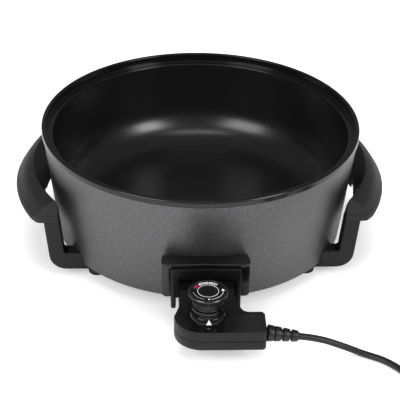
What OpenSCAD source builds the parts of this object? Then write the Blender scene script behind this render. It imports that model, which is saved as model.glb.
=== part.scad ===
// Round electric skillet: a deep cast pan on four feet, with two wing handles
// on L-shaped arms and a plug-in heat control with its own supply cord.
// The pan's axis is the model's vertical axis in every module; place() moves
// the whole object so that its footprint is centred on the origin.

/* [Pan] */
// Outer radius of the rolled rim
rim_r = 160; // [140:1:180]
// Height of the rim's top above the floor
rim_z = 130; // [115:1:150]
// Height of the black rim band
rim_band = 6.5; // [4:0.5:10]
// How far the rim stands out past the top of the outer wall
rim_lip = 1.2; // [0.6:0.1:3]
// Width of the rim's flat top, outside the lid seat
rim_top_w = 4.4; // [3:0.1:7]
// Depth of the lid seat below the rim's top
seat_depth = 9; // [5:0.5:14]
// Width of the ledge that a lid rests on
ledge_w = 6.9; // [4:0.1:10]
// Height of the pan's lower edge above the floor
skirt_z = 14; // [11:0.5:20]
// How far the outer wall leans in from top to bottom
wall_lean = 13.8; // [6:0.2:20]
// Thickness of the skirt below the bowl
skirt_t = 4; // [3:0.5:6]
// Height of the cooking surface above the floor
bowl_z = 34; // [32:1:44]
// How far the bowl's inner wall leans in
bowl_lean = 6; // [2:0.5:12]
// Radius between the bowl's wall and its floor
bowl_fillet = 42; // [20:1:50]
// Thickness of the bowl's floor
bowl_t = 4.5; // [3:0.5:7]

/* [Heating] */
// Radius of the heating ring
element_r = 95; // [70:1:105]
// Diameter of the heating tube
element_d = 8; // [6:0.5:10]
// Distance between the two terminal pins
pin_gap = 34; // [30:1:38]
// Diameter of a terminal pin
pin_d = 5.8; // [4:0.2:7]
// Diameter of the heat probe
probe_d = 5.8; // [4:0.2:6.4]
// Clearance between pieces that slide or turn
run_gap = 0.3; // [0.2:0.05:0.5]

/* [Connector] */
// Width of the connector shroud
shroud_w = 84; // [78:1:96]
// Height of the shroud's top above the floor
shroud_top = 66; // [60:1:80]
// Height of the lower ends of the shroud's sides
shroud_low = 29; // [24:1:40]
// Distance of the shroud's front from the pan's axis
shroud_y = 166; // [162:0.5:168]
// Thickness of the shroud's roof
roof_t = 3.4; // [2:0.2:6]
// Width of the frame inside the shroud
frame_w = 66; // [64:1:70]
// How far the frame stands out in front of the shroud
frame_out = 4; // [2:0.5:7]
// Width of each leg of the frame
frame_leg = 3.6; // [3:0.2:6]
// Height of the lower end of the frame above the floor
frame_low = 19; // [17:0.5:24]
// Height of the frame's header
header_h = 11; // [8:0.5:14]

/* [Handles] */
// Length of a handle along the pan's side
handle_l = 168; // [152:2:188]
// Reach of a handle from the pan's axis
handle_reach = 188; // [184:1:196]
// Height of the lower face of a handle
handle_z = 62; // [54:1:68]
// Height of a handle, from its lower face to its ridge
handle_h = 26; // [20:1:32]
// Wall thickness of the handle shells
handle_t = 2.5; // [2:0.25:3.5]
// Height of the seam above the handle's lower face
handle_seam = 8; // [6:0.5:10]

/* [Arms and feet] */
// Width of an arm
arm_w = 16; // [12:1:20]
// Thickness of an arm's upright
arm_t = 15; // [12:0.5:17]
// Reach of an arm at its top
arm_reach = 156; // [152:0.5:158]
// Height of the lower face of an arm above the floor
arm_z = 8; // [6:0.5:9]
// Height of the arm's step outside the pan
arm_step = 26; // [22:0.5:30]
// Wall thickness of the arm's channel
arm_wall = 3; // [2:0.25:4]
// Distance of a foot's centre from the pan's axis, sideways
foot_x = 104.8; // [96:0.2:108]
// Distance of a foot's centre from the pan's axis, front to back
foot_y = 76; // [70:0.5:80]
// Diameter of a foot
foot_d = 18; // [14:0.5:20]
// Diameter of the shank of the foot screws
screw_d = 4; // [3:0.5:5]

/* [Heat control] */
// Width of the control's main housing
body_w = 62; // [58:1:70]
// Distance of the control's front from the pan's axis
body_y = 236; // [232:1:245]
// Distance of the housing's back shoulder from the pan's axis
body_back = 172.5; // [171.5:0.5:176]
// Height of the control's lower face above the floor
body_z = 18; // [15:0.5:18]
// Thickness of the control's housing
body_h = 20; // [18:0.5:26]
// Reach of the cord branch from the middle of the control
branch_x = 53; // [48:1:65]
// Width of the cord branch
branch_w = 31; // [26:1:36]
// Wall thickness of the housing
body_t = 2; // [1.6:0.2:3]
// Distance of the dial's centre from the pan's axis
dial_y = 208; // [206:0.5:211]
// Diameter of the dial's flange
dial_d = 37; // [32:0.5:39]
// Height of the dial's face above the floor
dial_z = 65; // [62:0.5:72]
// Height of the knurled ring
knurl_h = 10; // [7:0.5:12]
// Diameter of the knurled ring
knurl_d = 29; // [26:0.5:31]
// Length of the heat probe behind the housing
probe_l = 94; // [80:1:100]

/* [Cord and plug] */
// Diameter of the supply cord
cord_d = 6.4; // [5:0.2:8]
// Largest diameter of the strain relief
relief_d = 15; // [13:0.5:17]
// Length of the strain relief
relief_l = 32; // [26:1:40]
// Radius at the middle of the coil's turns
coil_r = 35; // [32:1:45]
// Diameter of the plug's grip
plug_d = 36; // [34:0.5:40]
// Length of the plug's grip
plug_l = 34; // [30:1:45]
// Diameter of a plug pin
plug_pin_d = 4.8; // [4:0.1:5]
// Length of a plug pin
plug_pin_l = 19; // [17:0.5:22]
// Distance between the plug's pins
plug_pin_gap = 19; // [17:0.5:20]

/* [Hidden] */
$fn = 96;
eps = 0.01;
big = 400;

// The footprint, without the cord, is centred on the origin.
pan_y = (body_y - rim_r) / 2;

// Pan
rim_low = rim_z - rim_band;
wall_top_r = rim_r - rim_lip;
wall_low_r = wall_top_r - wall_lean;
seat_r = rim_r - rim_top_w;
ledge_z = rim_z - seat_depth;
mouth_r = seat_r - ledge_w;
bowl_low_r = mouth_r - bowl_lean;
plate_z = bowl_z - bowl_t;
under_fillet = 0.7 * bowl_fillet;
groove_z = plate_z + under_fillet + 3;
boss_r = 7;
window_w = 52;
window_y = 125;
pan_gap = 0.3;
function wall_r(z) = wall_low_r + wall_lean * (z - skirt_z) / (rim_low - skirt_z);

// Heating and terminals
term_z = plate_z - element_d / 2 - pan_gap;
elbow_grow = 0.5;
plate_t = 2;
plate_w = 50;
plate_low = 17;
plate_top = 35;
plate_y = wall_r(plate_top) + pan_gap;
pin_tip_y = shroud_y - 6;
pin_root_y = 126;
insulator_r = pin_d / 2 + 1.1;
insulator_l = 6.5;
socket_t = 0.9;
socket_r = probe_d / 2 + run_gap + socket_t;
nose_y = shroud_y - 13;
nose_w = frame_w - 2 * frame_leg - 8;
nose_low = frame_low + 1;
nose_top = shroud_top - roof_t - header_h - 2;
probe_tip_y = nose_y - probe_l;

// Connector
frame_top = shroud_top - roof_t - 0.1;
frame_y = shroud_y + frame_out;
frame_window_top = frame_top - header_h;
deep_y = window_y - 5;

// Two screws hold the shroud from inside the skirt
fix_x = (frame_w + shroud_w) / 4;
fix_z = shroud_low + 4.5;
fix_r = 1.6;
fix_l = 18;
fix_head_r = 3;
fix_head_h = 2;
fix_y = sqrt(pow(wall_r(fix_z) - skirt_t, 2) - pow(fix_x, 2)) + 1.5;

// Handles: each bends round an upright axis of its own
seam_z = handle_z + handle_seam;
ridge_z = handle_z + handle_h;
handle_bend = 178;
bend_x = handle_reach - handle_bend;
outer_r = handle_bend;
handle_in = 19;
inner_r = norm([arm_reach - handle_in - bend_x, foot_y]);
ridge_r = inner_r + 0.37 * (outer_r - inner_r);
seam_r = outer_r - 3.2;
inner_seam_r = inner_r + (ridge_r - inner_r) * handle_seam / handle_h;
handle_end_x = arm_reach - arm_t;
end_x = bend_x + sqrt(pow(outer_r, 2) - pow(handle_l / 2, 2)) - 5;
far_x = handle_reach + 12;
end_cut = 32;
end_r = 10;
// The thin wall under a handle's inner side, between the arms, with an arch in
// its middle: [half width, height below the handle, corner radius]
apron_z = handle_z - 18;
apron_in = inner_r + 0.5;
apron_half = foot_y - arm_w / 2 - 0.3;
apron_arch = [[36, -18.5, 2], [18, -15.5, 2], [9, -12.5, 2], [3, -8, 2]];

// Arms: the outer face leans in from the handle down to the corner
arm_lean = 6;
arm_corner = 17;
arm_y = foot_y;
arm_in_x = foot_x - foot_d / 2 - 2;
pocket_x = sqrt(pow(wall_r(arm_step) + pan_gap, 2) - pow(arm_y - arm_w / 2, 2)) + 3;
function arm_out_x(z) = arm_reach - arm_lean * (handle_z - z) / (handle_z - arm_z);

// Feet and their screws
foot_recess_r = foot_d / 2 - 4.5;
foot_recess = 3.5;
screw_r = screw_d / 2;
screw_gap = 0.1;
foot_screw_top = skirt_z + 14;
arm_cap = 9;
handle_screw_x = arm_reach - arm_t / 2 - 1.5;
handle_screw_low = handle_z - arm_cap;
handle_screw_top = handle_z + handle_seam + 5;
post_r = 4;

// Heat control
split_z = body_z + body_h / 2;
top_z = body_z + body_h;
front_r = 28;
branch_back = body_y - branch_w;
collar_z = [top_z, top_z + 6, top_z + 12];
collar_r = [dial_d / 2 - 1, dial_d / 2 - 2.8];
spindle_r = 3;
flange_z = dial_z - 5;
face_t = 0.8;
face_r = dial_d / 2 - 1.6;
knurl_z = flange_z - knurl_h;
sleeve_t = 1.3;
sleeve_r = pin_d / 2 + run_gap + sleeve_t;
body_screws = [[-body_w / 2 + 9, -body_y + 24], [branch_x - 8, -branch_back - 7],
               [body_w / 2 - 7, -body_back - 7]];
body_screw_r = 1.5;

// Strain relief: it leaves the branch's end and droops a little
relief_y = body_y - branch_w / 2;
relief_z = body_z + body_h / 2 - 0.5;
relief_tip = [branch_x + relief_l, -relief_y, relief_z - 5.5];
relief_drop = atan2(relief_z - relief_tip[2], relief_l);
relief_parts = 4;

// Cord: where it isn't coiled, its points are chosen by hand
cord_r = cord_d / 2;
cord_points = [
  [85, -220.5, 22], [97, -220, 19.6], [109, -219, 15.8], [120, -219, 11.6],
  [131, -220, 7.6], [141, -222.5, 4.6], [150, -226, 3.3], [160, -232, 3.3],
  [169, -240, 3.3], [177, -250, 3.3], [184, -262, 3.3], [190, -275, 3.3],
  [196, -287, 3.3]
];
plug_lead = [
  [270, -262, 9.6], [270, -250, 9.8], [270, -238, 11], [270, -226, 14],
  [270, -214, 17], [270, -207, 18], [270, -200, 18]
];
cord_sides = 10;
coil_c = [229, -266];
coil_half = 1.5 * cord_d;
coil_h = 2 * cord_d;
plug_c = [270, -200, 18];
plug_neck_l = 26;

// ---------- helpers ----------
module place() translate([0, pan_y, 0]) children();
module along_x(w) rotate([90, 0, 90]) translate([0, 0, -w / 2]) linear_extrude(w) children();
module rod(r, y0, y1) rotate([90, 0, 0]) translate([0, 0, -y1]) cylinder(r = r, h = y1 - y0);

function flat(p) = [p[0], p[1]];
function unit(v) = v / norm(v);
// Points of the arc that rounds the corner b between a and c
function corner(a, b, c, r, n) = r <= 0 ? [b] :
  let (u = unit(a - b), w = unit(c - b), half = acos(u * w) / 2,
       o = b + unit(u + w) * r / sin(half), p = b + u * r / tan(half),
       q = b + w * r / tan(half), a0 = atan2(p[1] - o[1], p[0] - o[0]),
       raw = atan2(q[1] - o[1], q[0] - o[0]) - a0,
       turn = raw > 180 ? raw - 360 : raw < -180 ? raw + 360 : raw)
  [for (i = [0 : n]) let (t = a0 + turn * i / n) o + r * [cos(t), sin(t)]];
// An outline whose points are [x, y, corner radius]
function rounded(path, n = 6) = let (k = len(path))
  [for (i = [0 : k - 1]) each corner(flat(path[(i + k - 1) % k]), flat(path[i]),
                                     flat(path[(i + 1) % k]), path[i][2], n)];

// A closed skin through rings that all have the same number of points
function skin_faces(rings, n) = concat(
  [[for (i = [0 : n - 1]) i]],
  [for (k = [0 : rings - 2], i = [0 : n - 1]) let (j = (i + 1) % n)
    each [[(k + 1) * n + j, k * n + j, k * n + i],
          [(k + 1) * n + i, (k + 1) * n + j, k * n + i]]],
  [[for (i = [0 : n - 1]) rings * n - 1 - i]]);
module skin(rings) polyhedron(points = [for (r = rings) each r],
                              faces = skin_faces(len(rings), len(rings[0])));

// A round tube through points: each ring stands across the route
function route_dir(p, i) = unit(p[min(i + 1, len(p) - 1)] - p[max(i - 1, 0)]);
module tube(p, r, sides) skin([for (i = [0 : len(p) - 1])
  let (d = route_dir(p, i), s = unit(cross(d, [0, 0, 1])), u = cross(s, d))
  [for (k = [0 : sides - 1]) let (a = -360 * k / sides) p[i] + r * (cos(a) * s + sin(a) * u)]]);

// ---------- pan ----------
pan_profile = [
  [rim_r, rim_z, 1.6], [seat_r, rim_z, 1.2], [seat_r, ledge_z, 0], [mouth_r, ledge_z, 1.5],
  [bowl_low_r, bowl_z, bowl_fillet], [0, bowl_z, 0], [0, plate_z, 0],
  [bowl_low_r + bowl_t - 0.5, plate_z, under_fillet],
  [bowl_low_r + bowl_t, groove_z, 0], [wall_r(groove_z) - skirt_t, groove_z, 0],
  [wall_low_r - skirt_t, skirt_z, 0], [wall_low_r, skirt_z, 1.5],
  [wall_top_r, rim_low, 0], [rim_r, rim_low, 0.8]
];
module pan() color([0.42, 0.42, 0.42]) place() difference() {
  union() {
    rotate_extrude($fn = 180) polygon(rounded(pan_profile, 10));
    for (sx = [-1, 1], sy = [-1, 1]) translate([sx * foot_x, sy * foot_y, skirt_z])
      cylinder(r = boss_r, h = plate_z - skirt_z + 6);
  }
  // window in the skirt for the terminals
  translate([-window_w / 2, -wall_r(plate_z) - 5, skirt_z - 1])
    cube([window_w, wall_r(plate_z) + 5 - window_y, plate_z - skirt_z + 1 - pan_gap]);
  for (sx = [-1, 1], sy = [-1, 1]) translate([sx * foot_x, sy * foot_y, skirt_z - 1])
    cylinder(r = screw_r + screw_gap, h = foot_screw_top - skirt_z + 1.5);
  // seats and holes for the shroud's screws
  for (sx = [-1, 1]) translate([sx * fix_x, 0, fix_z]) {
    rod(fix_r + screw_gap, -shroud_y, -fix_y + 1);
    rod(fix_head_r + 0.4, -fix_y, -fix_y + 5);
  }
}

// ---------- heating ----------
ring_open = asin(pin_gap / 2 / element_r);
module heating_element() color([0.55, 0.52, 0.48]) place() translate([0, 0, term_z]) {
  rotate([0, 0, -90 + ring_open]) rotate_extrude(angle = 360 - 2 * ring_open)
    translate([element_r, 0]) circle(d = element_d, $fn = 48);
  for (s = [-1, 1]) translate([s * pin_gap / 2, 0, 0]) {
    rod(element_d / 2, -pin_root_y, -element_r * cos(ring_open));
    translate([0, -element_r * cos(ring_open), 0]) sphere(d = element_d + elbow_grow, $fn = 48);
  }
}
module terminal_pins() color([0.8, 0.78, 0.7]) place()
  for (s = [-1, 1]) translate([s * pin_gap / 2, 0, term_z]) {
    rod(pin_d / 2, -pin_tip_y + 2, -pin_root_y);
    translate([0, -pin_tip_y + 2, 0]) rotate([90, 0, 0])
      cylinder(r1 = pin_d / 2, r2 = pin_d / 2 - 1, h = 2);
  }
module terminal_insulators() color([0.9, 0.88, 0.82]) place()
  for (s = [-1, 1]) translate([s * pin_gap / 2, 0, term_z]) difference() {
    rod(insulator_r, -plate_y - plate_t - 1, -plate_y - plate_t - 1 + insulator_l);
    rod(pin_d / 2, -plate_y - insulator_l, -plate_y + insulator_l);
  }
module terminal_plate() color([0.7, 0.7, 0.72]) place() difference() {
  translate([-plate_w / 2, -plate_y - plate_t, plate_low])
    cube([plate_w, plate_t, plate_top - plate_low]);
  for (s = [-1, 1]) translate([s * pin_gap / 2, 0, term_z])
    rod(insulator_r, -plate_y - 5, -plate_y + 5);
  translate([0, 0, term_z]) rod(socket_r, -plate_y - 5, -plate_y + 5);
}
module probe_socket() color([0.72, 0.7, 0.66]) place() translate([0, 0, term_z]) difference() {
  rod(socket_r, -plate_y - plate_t - 1, -probe_tip_y + 3);
  rod(probe_d / 2 + run_gap, -plate_y - 10, -probe_tip_y + 1.5);
}

// ---------- connector ----------
// The pan's outer wall from z0 up, grown by a small gap
module wall_space(z0 = -big / 4) translate([0, 0, z0])
  cylinder(r1 = wall_r(z0) + pan_gap, r2 = wall_r(big / 2) + pan_gap, h = big / 2 - z0, $fn = 180);
module connector_shroud() color([0.1, 0.1, 0.1]) place() difference() {
  translate([-shroud_w / 2, -shroud_y, shroud_low])
    cube([shroud_w, shroud_y - deep_y, shroud_top - shroud_low]);
  translate([-frame_w / 2 - 0.2, -big / 2, -1])
    cube([frame_w + 0.4, big / 2 - deep_y + 20, shroud_top - roof_t + 1]);
  wall_space();
  for (sx = [-1, 1]) translate([sx * fix_x, 0, fix_z])
    rod(fix_r + screw_gap, -fix_y - fix_l - 0.5, -deep_y + 20);
}
module connector_frame() color([0.13, 0.13, 0.13]) place() difference() {
  translate([-frame_w / 2, -frame_y, frame_low])
    cube([frame_w, frame_y - deep_y, frame_top - frame_low]);
  translate([-frame_w / 2 + frame_leg, -big / 2, -1])
    cube([frame_w - 2 * frame_leg, big / 2 - deep_y + 20, frame_window_top + 1]);
  wall_space();
}
module shroud_screws() color([0.75, 0.75, 0.77]) place()
  for (sx = [-1, 1]) translate([sx * fix_x, 0, fix_z]) {
    rod(fix_r, -fix_y - fix_l, -fix_y + eps);
    rod(fix_head_r, -fix_y, -fix_y + fix_head_h);
  }

// ---------- handles ----------
// Sections across the handle, [radius, height, corner radius]; t draws them in
function top_section(t) = [
  [inner_seam_r + 1.3 * t, seam_z - (t > 0 ? 1 : 0), 0],
  [ridge_r - 1 + 0.6 * t, ridge_z - 1.6 * t, t > 0 ? 0.8 : 1.6],
  [(ridge_r + seam_r) / 2 + 1.2 - t, (ridge_z + seam_z) / 2 + 1 - t, 30],
  [seam_r - t, seam_z - (t > 0 ? 1 : 0), 0]];
function low_section(t) = [
  [inner_r + 1.3 * t, handle_z + t, t > 0 ? 0 : 1.5], [inner_seam_r + 1.3 * t, seam_z + (t > 0 ? 1 : 0), 0],
  [seam_r - t, seam_z + (t > 0 ? 1 : 0), 0], [outer_r - t, handle_z + 2.5 + t, 2],
  [outer_r - 4 - t, handle_z + t, 2]];
module bent(section) translate([bend_x, 0, 0]) rotate([0, 0, -60])
  rotate_extrude(angle = 120, $fn = 180) polygon(rounded(section, 4));
// The handle's ends, seen from above
module end_shape(t) linear_extrude(big) polygon(rounded([
  [handle_end_x + t, -handle_l / 2 + t, 2], [end_x - t, -handle_l / 2 + t, end_r],
  [far_x, -handle_l / 2 + end_cut * (far_x - end_x) / 40 + t, 0],
  [far_x, handle_l / 2 - end_cut * (far_x - end_x) / 40 - t, 0],
  [end_x - t, handle_l / 2 - t, end_r], [handle_end_x + t, handle_l / 2 - t, 2]]));
// Screw posts stand inside the handle, above the arms
module handle_posts(z0, z1, r) for (sy = [-1, 1])
  translate([handle_screw_x, sy * arm_y, z0]) cylinder(r = r, h = z1 - z0, $fn = 32);
module handle_shell(z0) difference() {
  intersection() {
    children(0);
    end_shape(0);
  }
  difference() {
    intersection() {
      children(1);
      end_shape(handle_t);
    }
    handle_posts(z0, big, post_r);
  }
  handle_posts(z0, handle_screw_top, screw_r + screw_gap);
  wall_space();
}
module handle_top() handle_shell(seam_z - 2) {
  bent(top_section(0));
  bent(top_section(handle_t));
}
module apron() difference() {
  intersection() {
    translate([bend_x, 0, apron_z])
      cylinder(r = apron_in + handle_t, h = handle_z + 1.2 - apron_z, $fn = 180);
    translate([arm_in_x, -apron_half, 0]) cube([big, 2 * apron_half, big]);
  }
  translate([bend_x, 0, 0]) cylinder(r = apron_in, h = big, $fn = 180);
  along_x(3 * big) polygon(rounded(concat(
    [for (p = apron_arch) [p[0], handle_z + p[1], p[2]]],
    [for (i = [len(apron_arch) - 1 : -1 : 0]) let (p = apron_arch[i]) [-p[0], handle_z + p[1], p[2]]]), 4));
  wall_space();
}
module handle_cover() union() {
  handle_shell(handle_z - 1) {
    bent(low_section(0));
    bent(low_section(handle_t));
  }
  apron();
}
module left_handle_top() color([0.12, 0.12, 0.12]) place() mirror([1, 0, 0]) handle_top();
module left_handle_cover() color([0.16, 0.16, 0.16]) place() mirror([1, 0, 0]) handle_cover();
module right_handle_top() color([0.12, 0.12, 0.12]) place() handle_top();
module right_handle_cover() color([0.16, 0.16, 0.16]) place() handle_cover();

// ---------- arms and feet ----------
arm_profile = [
  [arm_in_x, arm_z, 1.5], [arm_out_x(arm_z), arm_z, arm_corner], [arm_reach, handle_z, 0],
  [arm_reach - arm_t, handle_z, 0], [arm_out_x(arm_step) - arm_t, arm_step, 3],
  [arm_in_x, arm_step, 0]
];
arm_pocket = [
  [pocket_x, arm_z + arm_wall, 1], [arm_out_x(arm_z) - arm_wall, arm_z + arm_wall, arm_corner - arm_wall],
  [arm_reach - arm_wall, handle_z - arm_cap, 0],
  [arm_in_x, handle_z - arm_cap, 0], [arm_in_x, arm_step + 1, 0], [pocket_x, arm_step + 1, 0]
];
module across(w) rotate([90, 0, 0]) translate([0, 0, -w / 2]) linear_extrude(w) children();
module arm() difference() {
  translate([0, arm_y, 0]) across(arm_w) polygon(rounded(arm_profile, 8));
  translate([0, arm_y, 0]) across(arm_w - 2 * arm_wall) polygon(rounded(arm_pocket, 8));
  wall_space(skirt_z);
  translate([foot_x, foot_y, 0]) cylinder(r = screw_r + screw_gap, h = big);
  translate([handle_screw_x, arm_y, handle_screw_low]) cylinder(r = screw_r + screw_gap, h = big);
}
module set_arm(sx, sy) color([0.23, 0.23, 0.23]) place() mirror([sx < 0 ? 1 : 0, 0, 0])
  mirror([0, sy < 0 ? 1 : 0, 0]) arm();
module front_left_arm() set_arm(-1, -1);
module front_right_arm() set_arm(1, -1);
module rear_left_arm() set_arm(-1, 1);
module rear_right_arm() set_arm(1, 1);
module feet() color([0.08, 0.08, 0.08]) place()
  for (sx = [-1, 1], sy = [-1, 1]) translate([sx * foot_x, sy * foot_y, 0])
    rotate_extrude() polygon(rounded([
      [foot_recess_r, 0, 0], [foot_d / 2 - 1, 0, 1], [foot_d / 2, arm_z, 0],
      [screw_r + screw_gap, arm_z, 0], [screw_r + screw_gap, foot_recess, 0],
      [foot_recess_r, foot_recess, 0]], 5));
module foot_screws() color([0.75, 0.75, 0.77]) place()
  for (sx = [-1, 1], sy = [-1, 1]) translate([sx * foot_x, sy * foot_y, 0]) {
    translate([0, 0, foot_recess - eps]) cylinder(r = screw_r, h = foot_screw_top - foot_recess);
    translate([0, 0, 1]) cylinder(r = foot_recess_r - 0.5, h = foot_recess - 1);
  }
module handle_screws() color([0.75, 0.75, 0.77]) place()
  for (sx = [-1, 1], sy = [-1, 1]) translate([sx * handle_screw_x, sy * arm_y, 0]) {
    translate([0, 0, handle_screw_low - eps]) cylinder(r = screw_r, h = handle_screw_top - handle_screw_low - 0.5);
    translate([0, 0, handle_screw_low - 2.2]) cylinder(r = screw_r + 1.4, h = 2.2);
  }

// ---------- heat control ----------
// Outline from above; d draws it in all round
function body_outline(d) = [
  [-body_w / 2 + d, -body_y + d, front_r - d], [branch_x - d, -body_y + d, 5 - d / 2],
  [branch_x - d, -branch_back - d, 4 - d / 2], [body_w / 2 - d, -branch_back - d, 8],
  [body_w / 2 - d, -body_back - d, 3], [-body_w / 2 + d, -body_back - d, 3]
];
module slab(d, z0, z1) translate([0, 0, z0]) linear_extrude(z1 - z0) polygon(rounded(body_outline(d)));
module block(w, y0, y1, z0, z1) translate([-w / 2, y0, z0]) cube([w, y1 - y0, z1 - z0]);
module sleeve_seats() for (s = [-1, 1]) translate([s * pin_gap / 2, 0, term_z])
  rod(sleeve_r, -body_back - 12, -nose_y + 1);
module probe_seat() translate([0, 0, term_z]) rod(probe_d / 2, -body_back - 12, -nose_y + 1);
module relief_seat(r, x0, x1) translate([x0, -relief_y, relief_z]) rotate([0, 90, 0])
  cylinder(r = r, h = x1 - x0);
module screw_posts(r, z0, z1) for (p = body_screws)
  translate([p[0], p[1], z0]) cylinder(r = r, h = z1 - z0, $fn = 32);
module control_top() color([0.07, 0.07, 0.07]) place() difference() {
  union() {
    difference() {
      union() {
        slab(0, split_z, top_z - 1.2);
        slab(1.2, top_z - 1.2 - eps, top_z);
        block(nose_w, -body_back - 3, -nose_y, split_z, nose_top);
        block(nose_w, -dial_y + dial_d / 2 + 1.5, -body_back, split_z, nose_top);
      }
      slab(body_t, split_z - 1, top_z - body_t);
      block(nose_w - 2 * body_t, -dial_y + dial_d / 2 + 1.5 + body_t, -nose_y - 12, split_z - 1,
            nose_top - body_t);
    }
    intersection() {
      slab(0.5, split_z, top_z);
      screw_posts(4, split_z, top_z - 0.5);
    }
    translate([0, -dial_y, top_z - body_t]) cylinder(r = spindle_r + run_gap + 2, h = body_t);
    translate([0, -dial_y, collar_z[0] - eps]) cylinder(r = collar_r[0], h = collar_z[1] - collar_z[0]);
    translate([0, -dial_y, collar_z[1] - 2 * eps])
      cylinder(r = collar_r[1], h = min(collar_z[2], knurl_z - run_gap) - collar_z[1]);
  }
  translate([0, -dial_y, split_z]) cylinder(r = spindle_r + run_gap, h = big);
  screw_posts(body_screw_r + screw_gap, split_z - 1, top_z - 3);
  sleeve_seats();
  probe_seat();
  relief_seat(relief_d / 2 - 2, branch_x - 12, branch_x + 1);
}
module control_base() color([0.2, 0.2, 0.2]) place() difference() {
  union() {
    difference() {
      union() {
        slab(1, body_z, body_z + 1.2);
        slab(0, body_z + 1.2 - eps, split_z);
        block(nose_w, -body_back - 3, -nose_y, nose_low, split_z);
      }
      slab(body_t, body_z + body_t, split_z + 1);
    }
    intersection() {
      slab(0.5, body_z, split_z);
      screw_posts(4, body_z, split_z);
    }
  }
  screw_posts(body_screw_r + screw_gap, body_z - 1, split_z + 1);
  screw_posts(3.1, body_z - 1, body_z + 3);
  sleeve_seats();
  probe_seat();
  relief_seat(relief_d / 2 - 2, branch_x - 12, branch_x + 1);
}
module control_screws() color([0.75, 0.75, 0.77]) place() {
  screw_posts(body_screw_r, body_z + 3 - eps, top_z - 4);
  screw_posts(2.9, body_z + 1, body_z + 3);
}
block_y = -dial_y - 11;
module thermostat_block() color([0.85, 0.82, 0.75]) place() difference() {
  union() {
    block(30, block_y, block_y + 22, body_z + body_t, term_z + 1);
    block(12, block_y + 22 - eps, -body_back - 2 - body_t, body_z + body_t, term_z + probe_d / 2 + 1.5);
  }
  translate([0, 0, term_z]) rod(probe_d / 2, block_y + 22 + 4, 0);
}
module contact_blade() color([0.8, 0.62, 0.3]) place() {
  block(7, block_y + 2, block_y + 20, term_z + 1, term_z + 1.6);
  translate([0, -dial_y, term_z + 1.6 - eps]) cylinder(r = 2.2, h = 1);
}
module probe_tube() color([0.78, 0.78, 0.8]) place() translate([0, 0, term_z]) {
  rod(probe_d / 2, block_y + 22 + 4, -probe_tip_y - probe_d / 2);
  translate([0, -probe_tip_y - probe_d / 2, 0]) sphere(d = probe_d, $fn = 48);
}
module contact_sleeves() color([0.8, 0.62, 0.3]) place()
  for (s = [-1, 1]) translate([s * pin_gap / 2, 0, term_z]) difference() {
    rod(sleeve_r, -body_back - 11.5, -nose_y - 1);
    rod(sleeve_r - sleeve_t, -body_back - 9, 0);
  }

// Tapered relief of separate ribs on one core, with a plug into the branch
module strain_relief() color([0.09, 0.09, 0.09]) place() {
  relief_seat(relief_d / 2 - 2.1, branch_x - 10, branch_x + 1);
  translate([branch_x, -relief_y, relief_z]) rotate([0, 90 + relief_drop, 0]) {
    cylinder(r1 = relief_d / 2 - 2.4, r2 = cord_r + 0.8, h = relief_l / cos(relief_drop));
    for (k = [0 : relief_parts - 1]) let (l = relief_l / relief_parts, c = cos(relief_drop))
      translate([0, 0, (k * l + (k == 0 ? 1.7 : 1.2)) / c])
        cylinder(r1 = relief_d / 2 - k * 1.2, r2 = relief_d / 2 - k * 1.2 - 0.9, h = (l - (k == 0 ? 2.7 : 1.6)) / c);
  }
}

// ---------- dial ----------
module at_dial(z) place() translate([0, -dial_y, z]) children();
module dial_spindle() color([0.7, 0.7, 0.72]) at_dial(term_z + 3)
  cylinder(r = spindle_r, h = flange_z - term_z - 3);
ribs = 24;
module knurled_ring() color([0.09, 0.09, 0.09]) at_dial(knurl_z) difference() {
  linear_extrude(knurl_h) polygon([for (i = [0 : 4 * ribs - 1])
    let (a = 90 * i / ribs, r = knurl_d / 2 - (i % 4 < 2 ? 0 : 0.9)) r * [cos(a), sin(a)]]);
  translate([0, 0, -1]) cylinder(r = spindle_r, h = knurl_h + 2);
}
module dial_knob() color([0.35, 0.35, 0.36]) at_dial(flange_z) rotate_extrude()
  polygon(rounded([[0, 0, 0], [dial_d / 2 - 0.6, 0, 0.8], [dial_d / 2, dial_z - flange_z, 1],
                   [face_r, dial_z - flange_z, 0], [face_r, dial_z - flange_z - face_t, 0],
                   [0, dial_z - flange_z - face_t, 0]], 4));
module dial_face() color([0.05, 0.05, 0.05]) at_dial(dial_z - face_t)
  cylinder(r = face_r - 0.05, h = face_t - 0.1);

// ---------- cord and plug ----------
module power_cord() color([0.08, 0.08, 0.08]) place() {
  tube(cord_points, cord_r, cord_sides);
  tube(plug_lead, cord_r, cord_sides);
}
module cord_coil() color([0.1, 0.1, 0.1]) place() translate([coil_c[0], coil_c[1], 0])
  rotate_extrude() polygon(rounded([
    [coil_r - coil_half, 0, 2], [coil_r + coil_half, 0, 2],
    [coil_r + coil_half, coil_h, 2], [coil_r - coil_half, coil_h, 2]], 4));
module plug_body() color([0.09, 0.09, 0.09]) place() translate(plug_c) rotate([-90, 0, 0]) {
  translate([0, 0, plug_neck_l]) rotate_extrude() polygon(rounded([
    [0, 0, 0], [plug_d / 2 - 5, 0, 5], [plug_d / 2, 12, 6], [plug_d / 2, plug_l, 1.5],
    [0, plug_l, 0]], 6));
  cylinder(r1 = cord_r + 1.6, r2 = cord_r + 5, h = plug_neck_l + eps);
}
module plug_pins() color([0.8, 0.78, 0.72]) place() translate(plug_c) rotate([-90, 0, 0])
  for (s = [-1, 1]) translate([s * plug_pin_gap / 2, 0, plug_neck_l + plug_l])
    cylinder(d = plug_pin_d, h = plug_pin_l);

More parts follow.
